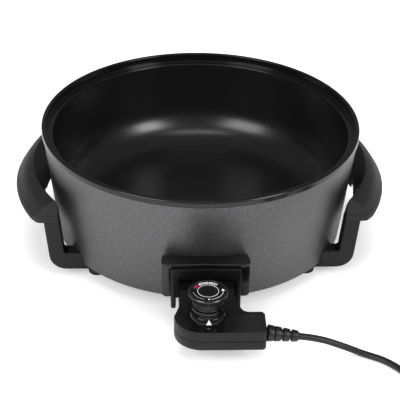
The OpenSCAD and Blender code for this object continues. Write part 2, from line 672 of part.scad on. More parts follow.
pan();
heating_element();
terminal_pins();
terminal_insulators();
terminal_plate();
probe_socket();
connector_shroud();
connector_frame();
shroud_screws();
left_handle_top();
left_handle_cover();
right_handle_top();
right_handle_cover();
front_left_arm();
front_right_arm();
rear_left_arm();
rear_right_arm();
feet();
foot_screws();
handle_screws();
control_top();
control_base();
control_screws();
thermostat_block();
contact_blade();
probe_tube();
contact_sleeves();
strain_relief();
dial_spindle();
knurled_ring();
dial_knob();
dial_face();
power_cord();
cord_coil();
plug_body();
plug_pins();
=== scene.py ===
"""A round electric skillet with a plug-in heat control, dressed for rendering.

Lengths are millimetres, in a frame whose upright axis is the pan's. They become metres as a piece is drawn.
"""

import math
from contextlib import contextmanager

import bpy
from bpy.props import FloatProperty, FloatVectorProperty, IntProperty, PointerProperty
from mathutils import Matrix, Vector

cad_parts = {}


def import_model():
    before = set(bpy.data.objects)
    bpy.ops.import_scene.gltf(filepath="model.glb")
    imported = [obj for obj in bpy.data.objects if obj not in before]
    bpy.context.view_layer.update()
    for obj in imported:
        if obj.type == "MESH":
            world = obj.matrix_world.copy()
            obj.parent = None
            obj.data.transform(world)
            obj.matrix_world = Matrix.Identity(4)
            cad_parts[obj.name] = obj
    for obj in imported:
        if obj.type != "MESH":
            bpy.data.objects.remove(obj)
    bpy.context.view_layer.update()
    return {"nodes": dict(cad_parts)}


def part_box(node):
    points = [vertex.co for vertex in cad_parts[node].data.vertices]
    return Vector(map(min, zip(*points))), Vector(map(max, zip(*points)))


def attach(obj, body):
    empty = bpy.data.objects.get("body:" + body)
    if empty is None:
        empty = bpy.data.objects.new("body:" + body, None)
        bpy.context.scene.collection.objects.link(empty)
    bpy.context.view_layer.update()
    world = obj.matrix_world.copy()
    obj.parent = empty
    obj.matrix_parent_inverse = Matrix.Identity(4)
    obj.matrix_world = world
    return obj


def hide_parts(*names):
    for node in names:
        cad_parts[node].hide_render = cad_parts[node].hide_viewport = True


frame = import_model()

bl_info = {
    "name": "Round Electric Skillet",
    "version": (1, 0, 0),
    "blender": (4, 5, 0),
    "location": "3D View > Sidebar > Skillet",
    "description": "Dresses a round electric skillet, its heat control and its supply cord",
    "category": "Add Mesh",
}

MM = 0.001
PAN_LOW, PAN_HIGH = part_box("pan")
AXIS_Y = (PAN_LOW.y + PAN_HIGH.y) / 2
SIDES = {"left": -1, "right": 1}
ENDS = {"front": -1, "rear": 1}
OVERHANG = 1.2  # the rim stands this far out past the top of the wall
LEAN = 13.8  # the wall is this much wider at its top than at its foot
WALL_GAP = 0.3  # clearance of the pieces that lie against the wall
FOOT_X, FOOT_Y = 104.8, 76.0  # where the feet, their bosses and the arms stand
ARM_WIDE, CHANNEL_WIDE, SCREW_HOLE = 16.0, 10.0, 2.1


# ---------- sizes and colours that a user would change ----------
def length(name, description, millimetres):
    return FloatProperty(
        name=name, description=description, default=millimetres * MM, min=0.0, unit="LENGTH"
    )


def colour(name, description, value):
    return FloatVectorProperty(
        name=name, description=description, default=value, size=3, min=0.0, max=1.0, subtype="COLOR"
    )


class SkilletPan(bpy.types.PropertyGroup):
    rim_radius: length("Rim radius", "Outer radius of the rolled rim", (PAN_HIGH.x - PAN_LOW.x) / 2 / MM)
    rim_height: length("Rim height", "Height of the rim above the floor", PAN_HIGH.z / MM)
    band: length("Band height", "Height of the black band under the rim", 6.5)
    skirt_low: length("Skirt height", "Height of the skirt's lower edge above the floor", PAN_LOW.z / MM)
    floor_height: length("Cooking height", "Height of the cooking surface above the floor", 34)
    bowl_fillet: length("Bowl fillet", "Radius between the bowl's wall and its floor", 42)
    steps: IntProperty(name="Steps", description="Steps round the pan", default=240, min=48)


class SkilletHandles(bpy.types.PropertyGroup):
    reach: length("Reach", "Distance of a handle's outer edge from the pan's axis", 188)
    span: length("Length", "Length of a handle along the pan's side", 168)
    low: length("Lower face", "Height of a handle's lower face", 62)
    seam: length("Seam", "Height of the seam between a handle's two shells", 70)
    ridge: length("Ridge", "Height of a handle's ridge", 88)
    end_round: length("End rounding", "Radius of a handle's end corners, seen from above", 10)


class SkilletControl(bpy.types.PropertyGroup):
    low: length("Lower face", "Height of the housing's lower face", 18)
    split: length("Parting line", "Height of the housing's parting line", 28)
    top: length("Top", "Height of the housing's top", 38)
    nose_top: length("Nose top", "Height of the nose that enters the connector", 49.6)
    dial_y: length("Dial distance", "Distance of the dial from the pan's axis", 208)
    dial_top: length("Dial top", "Height of the dial's top", 65)
    flange: length("Flange radius", "Radius of the dial's flange", 18.5)
    knurl: length("Knurl radius", "Radius of the dial's knurled ring", 14.5)
    ribs: IntProperty(name="Ribs", description="Ribs round the knurled ring", default=54, min=12)


class SkilletCord(bpy.types.PropertyGroup):
    diameter: length("Diameter", "Diameter of the supply cord", 6.4)
    coil_radius: length("Coil radius", "Radius at the middle of the coil's turns", 35)


class SkilletColours(bpy.types.PropertyGroup):
    hammered: colour("Hammered coat", "Outside of the pan", (0.115, 0.115, 0.118))
    coating: colour("Bowl coating", "Inside of the pan", (0.006, 0.006, 0.0065))
    band: colour("Rim", "Rolled rim and lid ledge", (0.005, 0.005, 0.0053))
    plastic: colour("Plastic", "Handles and arms", (0.014, 0.014, 0.0143))
    gloss: colour("Gloss plastic", "Hood and top of the heat control", (0.0035, 0.0035, 0.0038))
    satin: colour("Satin plastic", "Sides of the heat control", (0.009, 0.009, 0.0093))
    rubber: colour("Rubber", "Cord, strain relief and plug", (0.0065, 0.0065, 0.0068))
    print_white: colour("White print", "Marks on the dial", (0.80, 0.80, 0.80))
    print_red: colour("Red print", "Warm end of the dial", (0.26, 0.010, 0.030))


GROUPS = {
    "skillet_pan": SkilletPan,
    "skillet_handles": SkilletHandles,
    "skillet_control": SkilletControl,
    "skillet_cord": SkilletCord,
    "skillet_colours": SkilletColours,
}


def settings(name):
    """One property group of the scene; mm below reads its lengths in millimetres."""
    return getattr(bpy.context.scene, "skillet_" + name)


def mm(value):
    return value / MM


# ---------- outlines ----------
def corner(a, b, c, radius, steps):
    """Points of the arc that rounds the corner b between a and c."""
    if radius <= 0:
        return [tuple(b)]
    a, b, c = Vector(a), Vector(b), Vector(c)
    u, w = (a - b).normalized(), (c - b).normalized()
    half = math.acos(max(-1.0, min(1.0, u.dot(w)))) / 2
    centre = b + (u + w).normalized() * (radius / math.sin(half))
    p, q = b + u * (radius / math.tan(half)), b + w * (radius / math.tan(half))
    start = math.atan2(p.y - centre.y, p.x - centre.x)
    sweep = math.atan2(q.y - centre.y, q.x - centre.x) - start
    sweep = (sweep + math.pi) % (2 * math.pi) - math.pi
    angles = [start + sweep * i / steps for i in range(steps + 1)]
    return [(centre.x + radius * math.cos(a), centre.y + radius * math.sin(a)) for a in angles]


def rounded(path, steps=6, closed=True):
    """An outline whose points are (x, y, corner radius)."""
    count, out = len(path), []
    for i, (x, y, radius) in enumerate(path):
        if not closed and i in (0, count - 1):
            out.append((x, y))
            continue
        out += corner(path[i - 1][:2], (x, y), path[(i + 1) % count][:2], radius, steps)
    return out


# ---------- modelling by hand ----------
def deselect():
    if bpy.context.object and bpy.context.object.mode != "OBJECT":
        bpy.ops.object.mode_set(mode="OBJECT")
    bpy.ops.object.select_all(action="DESELECT")


def pick(*objects):
    deselect()
    for obj in objects:
        obj.select_set(True)
    bpy.context.view_layer.objects.active = objects[0]
    return objects[0]


@contextmanager
def editing(obj):
    """Edit mode with the whole mesh selected."""
    pick(obj)
    bpy.ops.object.mode_set(mode="EDIT")
    bpy.ops.mesh.select_all(action="SELECT")
    yield
    bpy.ops.object.mode_set(mode="OBJECT")


def settle():
    bpy.ops.object.transform_apply(location=True, rotation=True, scale=True)


def fresh(name):
    """The object that was just added, with its name and its mesh's set."""
    obj = bpy.context.object
    obj.name = obj.data.name = name
    return obj


def world(x, y, z):
    return Vector((x * MM, y * MM + AXIS_Y, z * MM))


def chain(name, points, closed=False):
    """Edges through the points, each extruded from the one before; a closed chain is filled."""
    deselect()
    places = [world(*p) for p in points]
    bpy.ops.mesh.primitive_plane_add(size=MM, location=places[0])
    obj = fresh(name)
    if closed:
        places.append(places[0])
    with editing(obj):
        bpy.ops.mesh.merge(type="CENTER")
        for a, b in zip(places, places[1:]):
            bpy.ops.mesh.extrude_region_move(TRANSFORM_OT_translate={"value": b - a})
        bpy.ops.mesh.select_all(action="SELECT")
        if closed:
            bpy.ops.mesh.remove_doubles(threshold=1e-7)
            bpy.ops.mesh.edge_face_add()
    settle()
    return obj


def tidy(obj, reach=1e-6):
    """Merges doubles and turns the faces outwards."""
    with editing(obj):
        bpy.ops.mesh.remove_doubles(threshold=reach)
        bpy.ops.mesh.normals_make_consistent(inside=False)
    return obj


def prism(name, outline, low, high, along="z"):
    """The outline drawn at low, filled, and extruded to high along that axis."""
    place = {
        "x": lambda u, v, w: (w, u, v),
        "y": lambda u, v, w: (u, w, v),
        "z": lambda u, v, w: (u, v, w),
    }[along]
    obj = chain(name, [place(u, v, low) for u, v in outline], closed=True)
    with editing(obj):
        bpy.ops.mesh.extrude_region_move(
            TRANSFORM_OT_translate={"value": Vector(place(0, 0, high - low)) * MM}
        )
    return tidy(obj)


def spin(obj, steps, angle, centre):
    """Spins the outline round an upright axis through the centre."""
    with editing(obj):
        bpy.ops.mesh.spin(steps=steps, angle=angle, center=centre, axis=(0, 0, 1))
    return tidy(obj)


def lathe(name, profile, x=0.0, y=0.0, steps=96, closed=False):
    """A profile of (radius, height) points spun round an upright axis."""
    obj = chain(name, [(x + r, y, z) for r, z in profile], closed)
    if closed:
        with editing(obj):
            bpy.ops.mesh.delete(type="ONLY_FACE")
    return spin(obj, steps, 2 * math.pi, world(x, y, 0))


def modify(obj, kind, **values):
    pick(obj)
    bpy.ops.object.modifier_add(type=kind)
    modifier = obj.modifiers[-1]
    for key, value in values.items():
        setattr(modifier, key, value)
    bpy.ops.object.modifier_apply(modifier=modifier.name)
    return obj


def soften(obj, width, segments=3, angle=30):
    return modify(
        obj, "BEVEL", width=width * MM, segments=segments, limit_method="ANGLE",
        angle_limit=math.radians(angle), harden_normals=False,
    )


def carve(obj, tool, operation="DIFFERENCE"):
    """A boolean with a tool that is used up."""
    modify(obj, "BOOLEAN", object=tool, operation=operation, solver="EXACT")
    if not len(obj.data.polygons):
        raise RuntimeError(f"{obj.name} is empty after {operation.lower()} with {tool.name}")
    pick(tool)
    bpy.ops.object.delete()
    return obj


def block(name, low, high):
    """A cube primitive that fills the space between two corners, to cut with."""
    deselect()
    a, b = world(*low), world(*high)
    bpy.ops.mesh.primitive_cube_add(size=1, location=(a + b) / 2)
    obj = fresh(name)
    obj.scale = b - a
    settle()
    return obj


def rod(name, radius, start, end, sides=32, tip=None):
    """A cylinder or a cone frustum between two points."""
    deselect()
    a, b = world(*start), world(*end)
    bpy.ops.mesh.primitive_cone_add(
        vertices=sides, radius1=radius * MM, radius2=(radius if tip is None else tip) * MM,
        depth=(b - a).length, location=(a + b) / 2,
    )
    obj = fresh(name)
    obj.rotation_euler = (b - a).to_track_quat("Z", "Y").to_euler()
    settle()
    return obj


def join(name, objects):
    pick(*objects)
    bpy.ops.object.join()
    return fresh(name)


def mirrored(obj, name):
    """A copy on the other side of the pan, with its own mesh."""
    pick(obj)
    bpy.ops.object.duplicate()
    copy = fresh(name)
    copy.scale.x = -1
    settle()
    return tidy(copy)


def laid(obj, place, degrees, axis):
    """A piece drawn upright at the origin, turned about an axis and set at its place."""
    pick(obj)
    obj.matrix_world = (
        Matrix.Translation(world(*place)) @ Matrix.Rotation(math.radians(degrees), 4, axis)
        @ Matrix.Translation(-world(0, 0, 0))
    )
    settle()
    return tidy(obj)


def smooth(obj, angle):
    pick(obj)
    bpy.ops.object.shade_smooth_by_angle(angle=math.radians(angle))
    return obj


def coat(obj, *materials):
    obj.data.materials.clear()
    for material in materials:
        obj.data.materials.append(material)
    return obj


def paint(obj, index, chosen):
    """Gives the faces for which chosen(face) is true the finish in that slot."""
    pick(obj)
    bpy.ops.object.mode_set(mode="EDIT")
    bpy.ops.mesh.select_mode(type="FACE")
    bpy.ops.mesh.select_all(action="DESELECT")
    bpy.ops.object.mode_set(mode="OBJECT")
    for face in obj.data.polygons:
        face.select = bool(chosen(face))
    bpy.ops.object.mode_set(mode="EDIT")
    obj.active_material_index = index
    bpy.ops.object.material_slot_assign()
    bpy.ops.mesh.select_mode(type="VERT")
    bpy.ops.object.mode_set(mode="OBJECT")
    return obj


def mount(obj, body, slot, *nodes):
    """The piece rides on its body and stands for its CAD nodes, which are hidden; the slot is not used."""
    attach(obj, body)
    if nodes:
        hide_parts(*nodes)
    return obj


def dress(obj, finish_name, body, slot, *nodes, angle=40):
    """One finish all over, smooth shading up to the angle, and the piece's place in the object."""
    smooth(coat(obj, finish(finish_name)), angle)
    return mount(obj, body, slot, *nodes)


# ---------- finishes ----------
def blank_finish(name):
    material = bpy.data.materials.new(name)
    material.use_nodes = True
    tree = material.node_tree
    tree.nodes.clear()
    output = tree.nodes.new("ShaderNodeOutputMaterial")
    shader = tree.nodes.new("ShaderNodeBsdfPrincipled")
    place = tree.nodes.new("ShaderNodeTexCoord")
    tree.links.new(shader.outputs["BSDF"], output.inputs["Surface"])
    return material, tree, shader, place.outputs["Object"]


def noise(tree, place, scale, detail=3.0, roughness=0.5, output="Fac"):
    node = tree.nodes.new("ShaderNodeTexNoise")
    tree.links.new(place, node.inputs["Vector"])
    node.inputs["Scale"].default_value = scale
    node.inputs["Detail"].default_value = detail
    node.inputs["Roughness"].default_value = roughness
    return node.outputs[output]


def shades(tree, factor, stops):
    """A colour ramp through (position, colour) stops."""
    ramp = tree.nodes.new("ShaderNodeValToRGB")
    tree.links.new(factor, ramp.inputs["Fac"])
    elements = ramp.color_ramp.elements
    while len(elements) < len(stops):
        elements.new(0.5)
    for element, (position, value) in zip(elements, stops):
        element.position = position
        element.color = (*value[:3], 1.0)
    return ramp.outputs["Color"]


def span(tree, factor, low, high):
    node = tree.nodes.new("ShaderNodeMapRange")
    tree.links.new(factor, node.inputs["Value"])
    node.inputs["To Min"].default_value = low
    node.inputs["To Max"].default_value = high
    return node.outputs["Result"]


def bump(tree, height, depth, strength=1.0, below=None):
    node = tree.nodes.new("ShaderNodeBump")
    node.inputs["Strength"].default_value = strength
    node.inputs["Distance"].default_value = depth * MM
    tree.links.new(height, node.inputs["Height"])
    if below is not None:
        tree.links.new(below, node.inputs["Normal"])
    return node.outputs["Normal"]


def scaled(value, factor):
    return tuple(min(1.0, channel * factor) for channel in value[:3])


def moulded_finish(name, value, rough, grain=0.5, depth=0.012, mottle=0.12, metallic=0.0, specular=0.5):
    """Moulded plastic, rubber or plain metal: a fine grain, a broad mottle and an uneven gloss."""
    material, tree, shader, place = blank_finish(name)
    broad = noise(tree, place, 38, 4.0)
    fine = noise(tree, place, 1000 / grain, 2.0, 0.6)
    tree.links.new(
        shades(tree, broad, [(0.3, scaled(value, 1 - mottle)), (0.7, scaled(value, 1 + mottle))]),
        shader.inputs["Base Color"],
    )
    tree.links.new(span(tree, fine, rough - 0.05, rough + 0.05), shader.inputs["Roughness"])
    tree.links.new(bump(tree, fine, depth), shader.inputs["Normal"])
    shader.inputs["Metallic"].default_value = metallic
    shader.inputs["Specular IOR Level"].default_value = specular
    return material


def hammered_finish(name, value):
    """Hammertone enamel: small irregular dimples with paler edges."""
    material, tree, shader, place = blank_finish(name)
    drift = noise(tree, place, 260, 2.0, output="Color")
    bent = tree.nodes.new("ShaderNodeMixRGB")
    bent.blend_type = "LINEAR_LIGHT"
    bent.inputs["Fac"].default_value = 0.0022
    tree.links.new(place, bent.inputs["Color1"])
    tree.links.new(drift, bent.inputs["Color2"])
    cells = tree.nodes.new("ShaderNodeTexVoronoi")
    cells.feature = "SMOOTH_F1"
    cells.inputs["Scale"].default_value = 780
    cells.inputs["Smoothness"].default_value = 0.35
    tree.links.new(bent.outputs["Color"], cells.inputs["Vector"])
    dimples = cells.outputs["Distance"]
    fine = noise(tree, place, 1500, 2.0)
    tree.links.new(
        shades(tree, dimples, [(0.12, scaled(value, 0.74)), (0.42, value), (0.75, scaled(value, 1.28))]),
        shader.inputs["Base Color"],
    )
    tree.links.new(span(tree, dimples, 0.30, 0.40), shader.inputs["Roughness"])
    deep = bump(tree, dimples, 0.2, 0.8)
    tree.links.new(bump(tree, fine, 0.01, below=deep), shader.inputs["Normal"])
    shader.inputs["Metallic"].default_value = 0.85
    return material


def coating_finish(name, value):
    """Non-stick coating: near black, with a faint fleck and a soft sheen."""
    material, tree, shader, place = blank_finish(name)
    fleck = noise(tree, place, 900, 2.0, 0.7)
    broad = noise(tree, place, 26, 3.0)
    tree.links.new(
        shades(tree, fleck, [(0.35, scaled(value, 0.8)), (0.62, value), (0.74, scaled(value, 2.2))]),
        shader.inputs["Base Color"],
    )
    tree.links.new(span(tree, broad, 0.23, 0.29), shader.inputs["Roughness"])
    shader.inputs["Specular IOR Level"].default_value = 0.65
    tree.links.new(bump(tree, fleck, 0.012), shader.inputs["Normal"])
    return material


def brushed_finish(name, value, rough):
    """Drawn or plated metal with fine lines."""
    material, tree, shader, place = blank_finish(name)
    stretch = tree.nodes.new("ShaderNodeMapping")
    stretch.inputs["Scale"].default_value = (1.0, 1.0, 12.0)
    tree.links.new(place, stretch.inputs["Vector"])
    lines = noise(tree, stretch.outputs["Vector"], 420, 3.0)
    tree.links.new(
        shades(tree, lines, [(0.3, scaled(value, 0.82)), (0.7, scaled(value, 1.1))]),
        shader.inputs["Base Color"],
    )
    tree.links.new(span(tree, lines, rough - 0.07, rough + 0.08), shader.inputs["Roughness"])
    tree.links.new(bump(tree, lines, 0.006), shader.inputs["Normal"])
    shader.inputs["Metallic"].default_value = 1.0
    return material


FINISHES = {}


def finish(name):
    """The named finish, mixed the first time that a piece asks for it."""
    if name in FINISHES:
        return FINISHES[name]
    hue = settings("colours")
    moulded = {
        "rim_enamel": dict(value=hue.band, rough=0.16, grain=0.4, depth=0.004),
        "cast_underside": dict(value=(0.20, 0.20, 0.205), rough=0.5, grain=0.9, depth=0.05, metallic=0.8),
        "handle_grain": dict(value=hue.plastic, rough=0.5, grain=0.7, depth=0.03, specular=0.28),
        # the arms take the handles' plastic darkened to three quarters: painted shade, standing for the shade
        # under the handles
        "arm_grain_painted_shade": dict(value=scaled(hue.plastic, 0.75), rough=0.5, grain=0.7, depth=0.03, specular=0.28),
        "hood_gloss": dict(value=hue.gloss, rough=0.16, depth=0.003, specular=0.6),
        "connector_satin": dict(value=hue.gloss, rough=0.3, depth=0.006, specular=0.35),
        "control_gloss": dict(value=hue.gloss, rough=0.17, depth=0.002),
        "control_satin": dict(value=hue.satin, rough=0.42, depth=0.02, specular=0.25),
        "foot_rubber": dict(value=scaled(hue.rubber, 1.2), rough=0.6, grain=0.8, depth=0.03),
        "cord_rubber": dict(value=hue.rubber, rough=0.42, depth=0.01),
        "dial_black": dict(value=hue.gloss, rough=0.22, grain=0.4, depth=0.003),
        "dial_chrome": dict(value=(0.07, 0.07, 0.072), rough=0.22, grain=0.4, depth=0.002, metallic=0.8),
        "knurl_black": dict(value=scaled(hue.gloss, 1.5), rough=0.32, grain=0.4, depth=0.004),
        "print_white": dict(value=hue.print_white, rough=0.5, grain=0.3, depth=0.002, mottle=0.04),
        "print_grey": dict(value=scaled(hue.print_white, 0.35), rough=0.5, grain=0.3, depth=0.002),
        "print_red": dict(value=hue.print_red, rough=0.5, grain=0.3, depth=0.002),
        "ceramic": dict(value=(0.72, 0.70, 0.64), rough=0.55, grain=0.6, depth=0.02, mottle=0.05),
    }
    brushed = {
        "element_steel": dict(value=(0.30, 0.28, 0.26), rough=0.42),
        "plated_steel": dict(value=(0.58, 0.58, 0.60), rough=0.3),
        "screw_steel": dict(value=(0.50, 0.50, 0.52), rough=0.32),
        "contact_metal": dict(value=(0.66, 0.63, 0.56), rough=0.25),
        "spring_brass": dict(value=(0.62, 0.43, 0.17), rough=0.3),
    }
    if name in moulded:
        FINISHES[name] = moulded_finish(name, **moulded[name])
    elif name in brushed:
        FINISHES[name] = brushed_finish(name, **brushed[name])
    elif name == "hammered_enamel":
        FINISHES[name] = hammered_finish(name, hue.hammered)
    else:
        FINISHES[name] = coating_finish(name, hue.coating)
    return FINISHES[name]


# ---------- camera and stage ----------
CAMERA_AIM = (0.0, 0.0, 70.0)
CAMERA_DISTANCE = 1600.0
CAMERA_LENS = 140.2
CAMERA_SHIFT = (0.0007, -0.0693)
CAMERA_HIGH, CAMERA_SIDE, CAMERA_ROLL = 29.95, 2.65, 1.0
FLOOR_DROP = 0.05
LIGHT_AIM = (0, 0, 60)
SKY_FILL, SKY_IN_GLOSS = 0.45, 0.16


class SkilletCamera(bpy.types.Operator):
    """Add the camera, above and in front of the heat control"""

    bl_idname = "skillet.camera"
    bl_label = "Camera"

    def execute(self, context):
        high, side, roll = (math.radians(a) for a in (CAMERA_HIGH, CAMERA_SIDE, CAMERA_ROLL))
        out = Vector(
            (-math.cos(high) * math.sin(side), -math.cos(high) * math.cos(side), math.sin(high))
        )
        aim = world(*CAMERA_AIM)
        deselect()
        bpy.ops.object.camera_add(location=aim + out * CAMERA_DISTANCE * MM)
        camera = bpy.context.object
        camera.name = "camera"
        facing = (-out).to_track_quat("-Z", "Y").to_matrix() @ Matrix.Rotation(roll, 3, "Z")
        camera.rotation_euler = facing.to_euler()
        camera.data.sensor_width = 36
        camera.data.lens = CAMERA_LENS
        camera.data.shift_x, camera.data.shift_y = CAMERA_SHIFT
        camera.data.clip_start, camera.data.clip_end = 0.05, 50
        context.scene.camera = camera
        return {"FINISHED"}


def soft_box(name, place, width, height, power, aim=LIGHT_AIM, reflected=True):
    """An area light that faces a point; it can be kept out of reflections."""
    deselect()
    start = world(*place)
    bpy.ops.object.light_add(type="AREA", location=start)
    lamp = bpy.context.object
    lamp.name = name
    lamp.data.shape = "RECTANGLE"
    lamp.data.size, lamp.data.size_y = width * MM, height * MM
    lamp.data.energy = power
    lamp.visible_glossy = reflected
    lamp.rotation_euler = (world(*aim) - start).to_track_quat("-Z", "Y").to_euler()
    return lamp


class SkilletStage(bpy.types.Operator):
    """Add the pale floor, the white surroundings and the soft studio lights"""

    bl_idname = "skillet.stage"
    bl_label = "Stage"

    def execute(self, context):
        self.floor()
        self.surroundings(context)
        soft_box("light_over", (0, 250, 1900), 1500, 1100, 22, reflected=False)
        soft_box("light_edge", (0, -700, 1800), 1100, 120, 3, aim=(0, -150, 60))
        soft_box("light_left", (-1090, -1170, 1100), 950, 900, 14)
        soft_box("light_right", (1130, -1080, 1100), 620, 800, 13)
        soft_box("light_front", (0, -1900, 900), 1600, 700, 7, reflected=False)
        context.scene.view_settings.view_transform = "Standard"
        return {"FINISHED"}

    def floor(self):
        deselect()
        bpy.ops.mesh.primitive_plane_add(size=8, location=(0, 0, -FLOOR_DROP * MM))
        floor = bpy.context.object
        floor.name = "floor"
        settle()
        material, tree, shader, place = blank_finish("floor_paper")
        tree.links.new(
            shades(tree, noise(tree, place, 3, 2.0), [(0.3, (0.86,) * 3), (0.7, (0.88,) * 3)]),
            shader.inputs["Base Color"],
        )
        shader.inputs["Roughness"].default_value = 0.9
        shader.inputs["Specular IOR Level"].default_value = 0.0
        glow = tree.nodes.new("ShaderNodeEmission")
        glow.inputs["Color"].default_value = (1, 1, 1, 1)
        path = tree.nodes.new("ShaderNodeLightPath")
        lift = tree.nodes.new("ShaderNodeMath")
        lift.operation = "MULTIPLY"
        lift.inputs[1].default_value = 0.35
        tree.links.new(path.outputs["Is Camera Ray"], lift.inputs[0])
        tree.links.new(lift.outputs["Value"], glow.inputs["Strength"])
        both = tree.nodes.new("ShaderNodeAddShader")
        output = next(n for n in tree.nodes if n.type == "OUTPUT_MATERIAL")
        tree.links.new(shader.outputs["BSDF"], both.inputs[0])
        tree.links.new(glow.outputs["Emission"], both.inputs[1])
        tree.links.new(both.outputs["Shader"], output.inputs["Surface"])
        coat(floor, material)

    def surroundings(self, context):
        """White to the camera, a plain fill to the object, and dim in reflections."""
        sky = bpy.data.worlds.new("studio")
        sky.use_nodes = True
        tree = sky.node_tree
        tree.nodes.clear()
        output = tree.nodes.new("ShaderNodeOutputWorld")
        path = tree.nodes.new("ShaderNodeLightPath")

        def white(strength):
            node = tree.nodes.new("ShaderNodeBackground")
            node.inputs["Color"].default_value = (1, 1, 1, 1)
            node.inputs["Strength"].default_value = strength
            return node.outputs["Background"]

        def swap(ray, usual, chosen):
            mix = tree.nodes.new("ShaderNodeMixShader")
            tree.links.new(path.outputs[ray], mix.inputs["Fac"])
            tree.links.new(usual, mix.inputs[1])
            tree.links.new(chosen, mix.inputs[2])
            return mix.outputs["Shader"]

        seen = swap("Is Camera Ray", white(SKY_FILL), white(1.0))
        tree.links.new(swap("Is Glossy Ray", seen, white(SKY_IN_GLOSS)), output.inputs["Surface"])
        context.scene.world = sky


# ---------- cord and plug ----------
CORD_RUN = [
    (85, -220.5, 22), (97, -220, 19.6), (109, -219, 15.8), (120, -219, 11.6),
    (131, -220, 7.6), (141, -222.5, 4.6), (150, -226, 3.3), (160, -232, 3.3),
    (169, -240, 3.3), (177, -250, 3.3), (184, -262, 3.3), (190, -275, 3.3),
]
PLUG_RUN = [
    (270, -262, 9.6), (270, -250, 9.8), (270, -238, 11), (270, -226, 14),
    (270, -214, 17), (270, -207, 18), (270, -200, 18),
]
COIL_CENTRE = (229, -266)
PLUG_CENTRE = (270, -200, 18)


def flowing(points, per_span=4):
    """The points with a smooth curve drawn through them."""
    path = [Vector(p) for p in points]
    ends = [2 * path[0] - path[1], *path, 2 * path[-1] - path[-2]]
    out = []
    for a, b, c, d in zip(ends, ends[1:], ends[2:], ends[3:]):
        for i in range(per_span):
            t = i / per_span
            square, cube = 2 * a - 5 * b + 4 * c - d, 3 * b - a - 3 * c + d
            out.append(0.5 * (2 * b + (c - a) * t + square * t**2 + cube * t**3))
    return out + [path[-1]]


def coil_turns(radius, diameter):
    """Three turns inwards on the floor, then three outwards on top of them."""
    x, y = COIL_CENTRE
    outer, inner = radius + diameter, radius - diameter
    low, high = diameter / 2 + 0.1, 1.5 * diameter + 0.1
    stations = [
        (212, outer, low), (512, outer, low), (572, radius, low), (872, radius, low),
        (932, inner, low), (1172, inner, low), (1232, inner, high), (1472, inner, high),
        (1532, radius, high), (1832, radius, high), (1892, outer, high), (2148, outer, high),
    ]
    out = []
    for (a0, r0, z0), (a1, r1, z1) in zip(stations, stations[1:]):
        count = max(2, round((a1 - a0) / 9))
        for i in range(count):
            t = i / count
            ease = t * t * (3 - 2 * t)
            angle, r, z = math.radians(a0 + (a1 - a0) * t), r0 + (r1 - r0) * ease, z0 + (z1 - z0) * ease
            out.append(Vector((x + r * math.cos(angle), y + r * math.sin(angle), z)))
    return out


class SkilletCordPiece(bpy.types.Operator):
    """Lay the supply cord: out of the strain relief, along the floor, into its coil and up to the plug"""

    bl_idname = "skillet.cord"
    bl_label = "Supply cord"

    def execute(self, context):
        size = settings("cord")
        diameter = mm(size.diameter)
        run = flowing(CORD_RUN) + coil_turns(mm(size.coil_radius), diameter) + flowing(PLUG_RUN)
        line = [world(*p) for p in run]
        data = bpy.data.curves.new("power_cord", "CURVE")
        data.dimensions = "3D"
        data.bevel_depth = size.diameter / 2
        data.bevel_resolution = 5
        data.use_fill_caps = True
        spline = data.splines.new("POLY")
        spline.points.add(len(line) - 1)
        for point, place in zip(spline.points, line):
            point.co = (*place, 1.0)
        spline.use_smooth = True
        data.materials.append(finish("cord_rubber"))
        cord = bpy.data.objects.new("power_cord_full", data)
        context.scene.collection.objects.link(cord)
        mount(cord, "control", "cord_sheath", "power_cord", "cord_coil")
        plug = self.plug()
        return {"FINISHED"}

    def plug(self):
        """A round two-pin plug: ribbed neck, domed shoulder and a grip with a shallow waist."""
        neck = [(0, 0), (4.6, 0), (5.0, 0.6)]
        for k in range(5):
            start = 2 + k * 4.6
            wide = 5.4 + 0.55 * k
            neck += [
                (wide, start), (wide + 0.3, start + 2.8), (wide - 0.8, start + 3.2),
                (wide - 0.8, start + 4.2),
            ]
        grip = rounded([
            (8.0, 25.2, 0), (9.2, 26.2, 1), (14.5, 27.5, 5), (17.6, 38, 8), (17.0, 49, 10), (18, 56, 2),
            (18, 60, 1.2), (0, 60, 0)], 5, closed=False)
        plug = laid(lathe("plug_housing", neck + grip, steps=72), PLUG_CENTRE, -90, "X")
        return dress(plug, "cord_rubber", "control", "plug_rubber", "plug_body")


